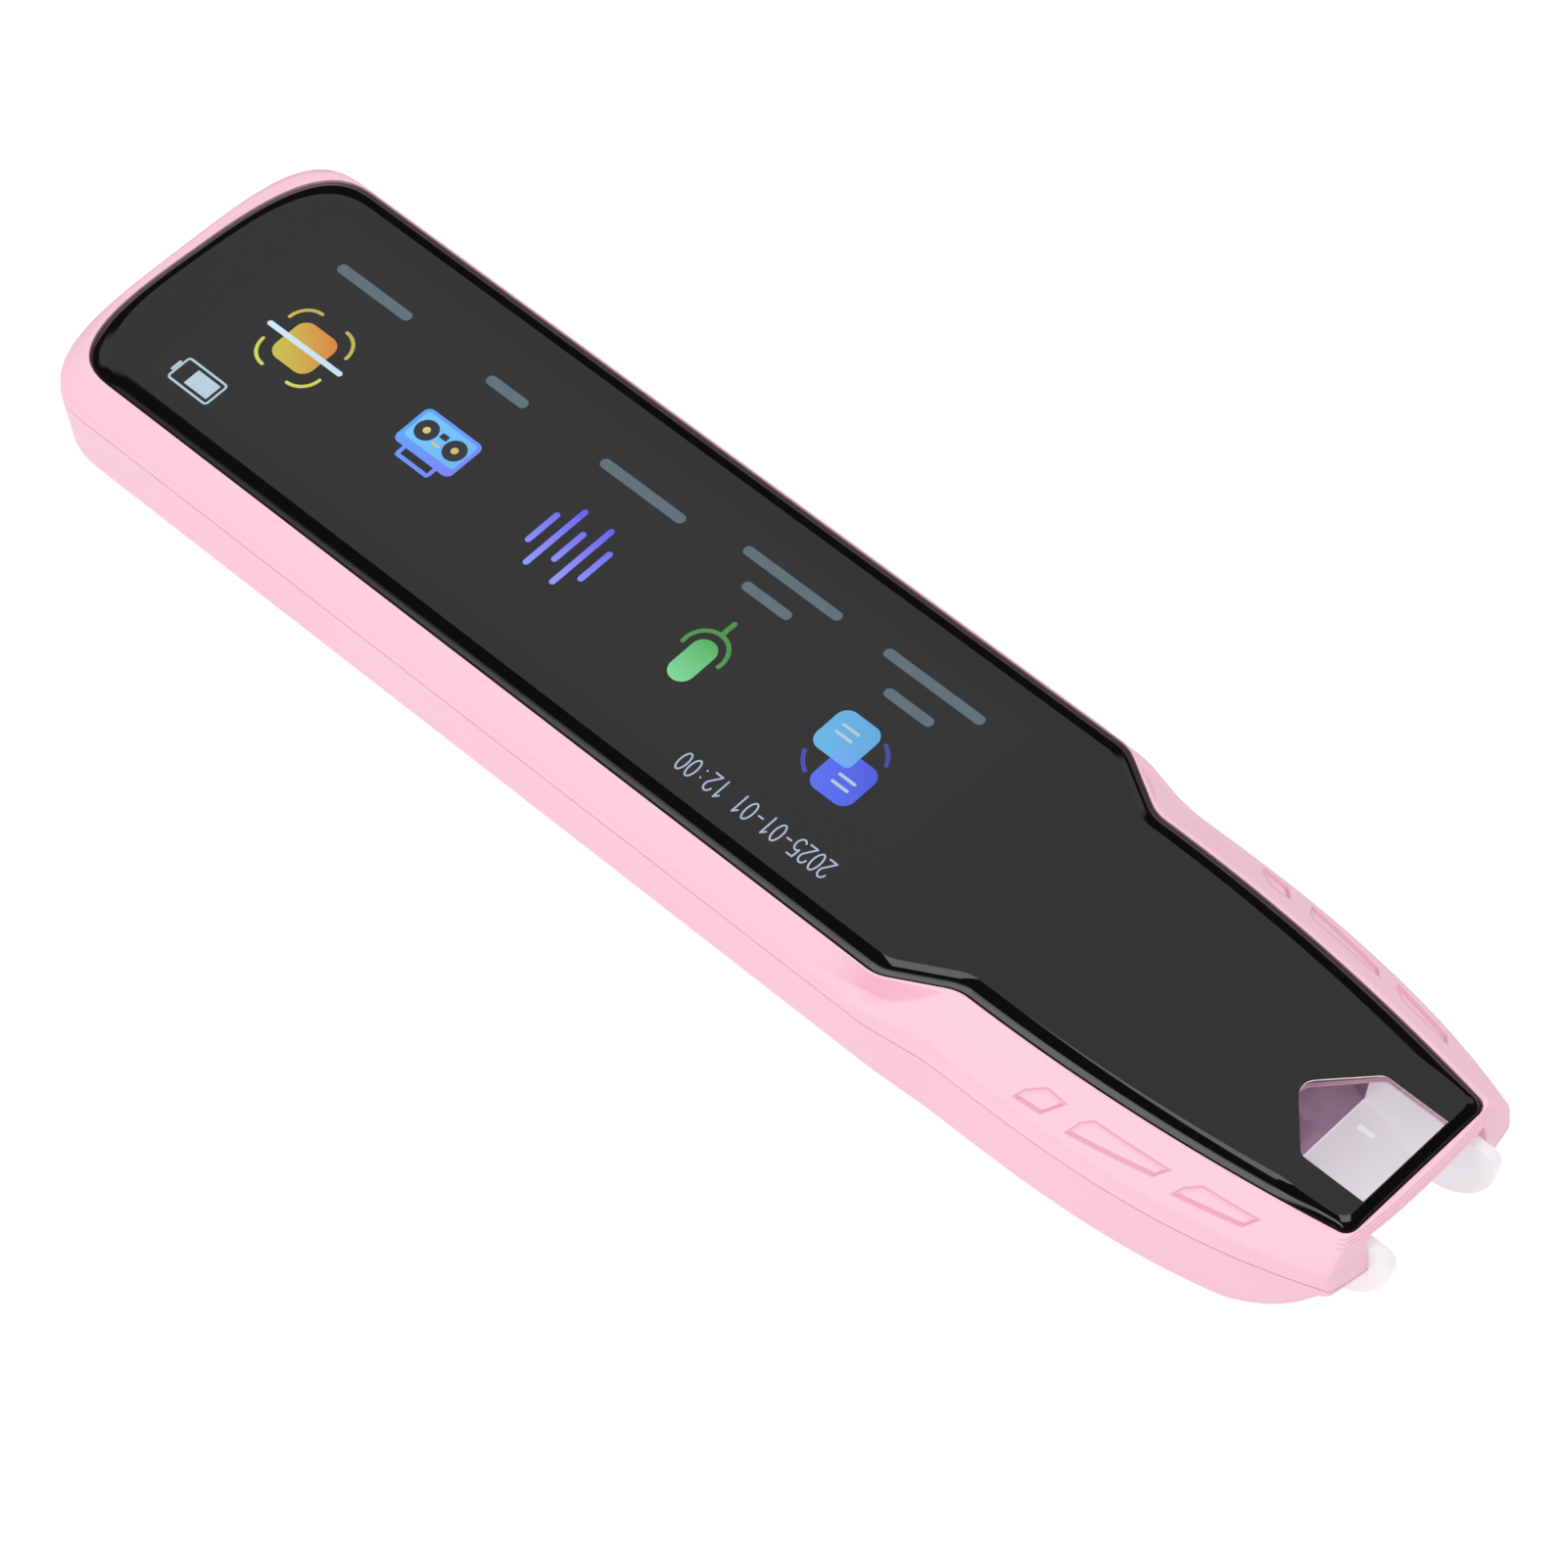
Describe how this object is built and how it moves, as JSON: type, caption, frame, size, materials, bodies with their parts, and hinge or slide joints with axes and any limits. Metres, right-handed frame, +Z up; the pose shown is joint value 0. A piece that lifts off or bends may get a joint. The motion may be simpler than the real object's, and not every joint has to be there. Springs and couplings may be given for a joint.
{
  "type": "scanning pen",
  "caption": "Slim handheld scanning pen with a bar display, a clear scan window in a tapered nose, a sprung scan hood that presses in, and a side power button.",
  "frame": {"origin": "below the middle of the pen, on the plane its flat underside rests on", "axes": "+X from the tail to the nose, +Y to the side with the power button, +Z up through the display"},
  "size_m": [0.1511, 0.0342, 0.0136],
  "materials": {
    "pink_plastic": "satin",
    "printed_glass": "polished, printed black behind",
    "milky_plastic": "satin",
    "tinted_plate": "polished",
    "lens_glass": "polished",
    "board_green": "solder mask",
    "tinned_steel": "tinned",
    "spring_steel": "drawn",
    "black_plastic": "matte",
    "flex_film": "smooth",
    "foam": "matte",
    "battery_foil": "foil",
    "white_plastic": "matte",
    "lcd_glass": "polished"
  },
  "bodies": {
    "case": {"top_shell": "pink_plastic", "bottom_shell": "pink_plastic", "front_glass": "printed_glass", "glass_adhesive": "foam", "lcd_panel": "lcd_glass", "lcd_backlight": "white_plastic", "lcd_flex": "flex_film", "return_spring_near": "spring_steel", "return_spring_far": "spring_steel", "trigger_switch": "black_plastic", "light_board": "board_green", "scan_led_near": "white_plastic", "scan_led_far": "white_plastic", "lens_barrel": "black_plastic", "lens_element": "lens_glass", "camera_housing": "black_plastic", "camera_board": "board_green", "camera_flex": "flex_film", "main_board": "board_green", "processor_shield": "tinned_steel", "memory_chip": "black_plastic", "wireless_chip": "black_plastic", "power_chip": "black_plastic", "board_screw_1": "spring_steel", "board_screw_2": "spring_steel", "board_screw_3": "spring_steel", "board_screw_4": "spring_steel", "battery_cell": "battery_foil", "battery_pad": "foam", "loudspeaker": "black_plastic", "speaker_gasket": "foam", "microphone": "tinned_steel", "microphone_boot": "foam", "charging_socket": "tinned_steel", "power_switch": "tinned_steel", "wireless_aerial": "flex_film"},
    "scan_hood": {"scan_hood": "milky_plastic", "camera_window": "tinted_plate"},
    "trigger_plunger": {"trigger_plunger": "white_plastic"},
    "power_button": {"power_button": "pink_plastic"},
    "power_plunger": {"power_plunger": "white_plastic"}
  },
  "joints": [
    {"name": "scan_press", "type": "slide", "parent": "case", "child": "scan_hood", "axis": [-1, 0, 0], "range_m": [0, 0.0012], "stiffness_N_per_m": 400, "springref_m": -0.002, "deforming": ["return_spring_near", "return_spring_far"]},
    {"name": "trigger_press", "type": "slide", "parent": "case", "child": "trigger_plunger", "axis": [-1, 0, 0], "range_m": [0, 0.0012]},
    {"name": "power_press", "type": "slide", "parent": "case", "child": "power_button", "axis": [0, -1, 0], "range_m": [0, 0.0004], "stiffness_N_per_m": 1000, "springref_m": -0.001},
    {"name": "power_switch_press", "type": "slide", "parent": "case", "child": "power_plunger", "axis": [0, -1, 0], "range_m": [0, 0.0004]}
  ],
  "couplings": [
    {"joint": "trigger_press", "follows": "scan_press", "ratio": 1},
    {"joint": "power_switch_press", "follows": "power_press", "ratio": 1}
  ]
}
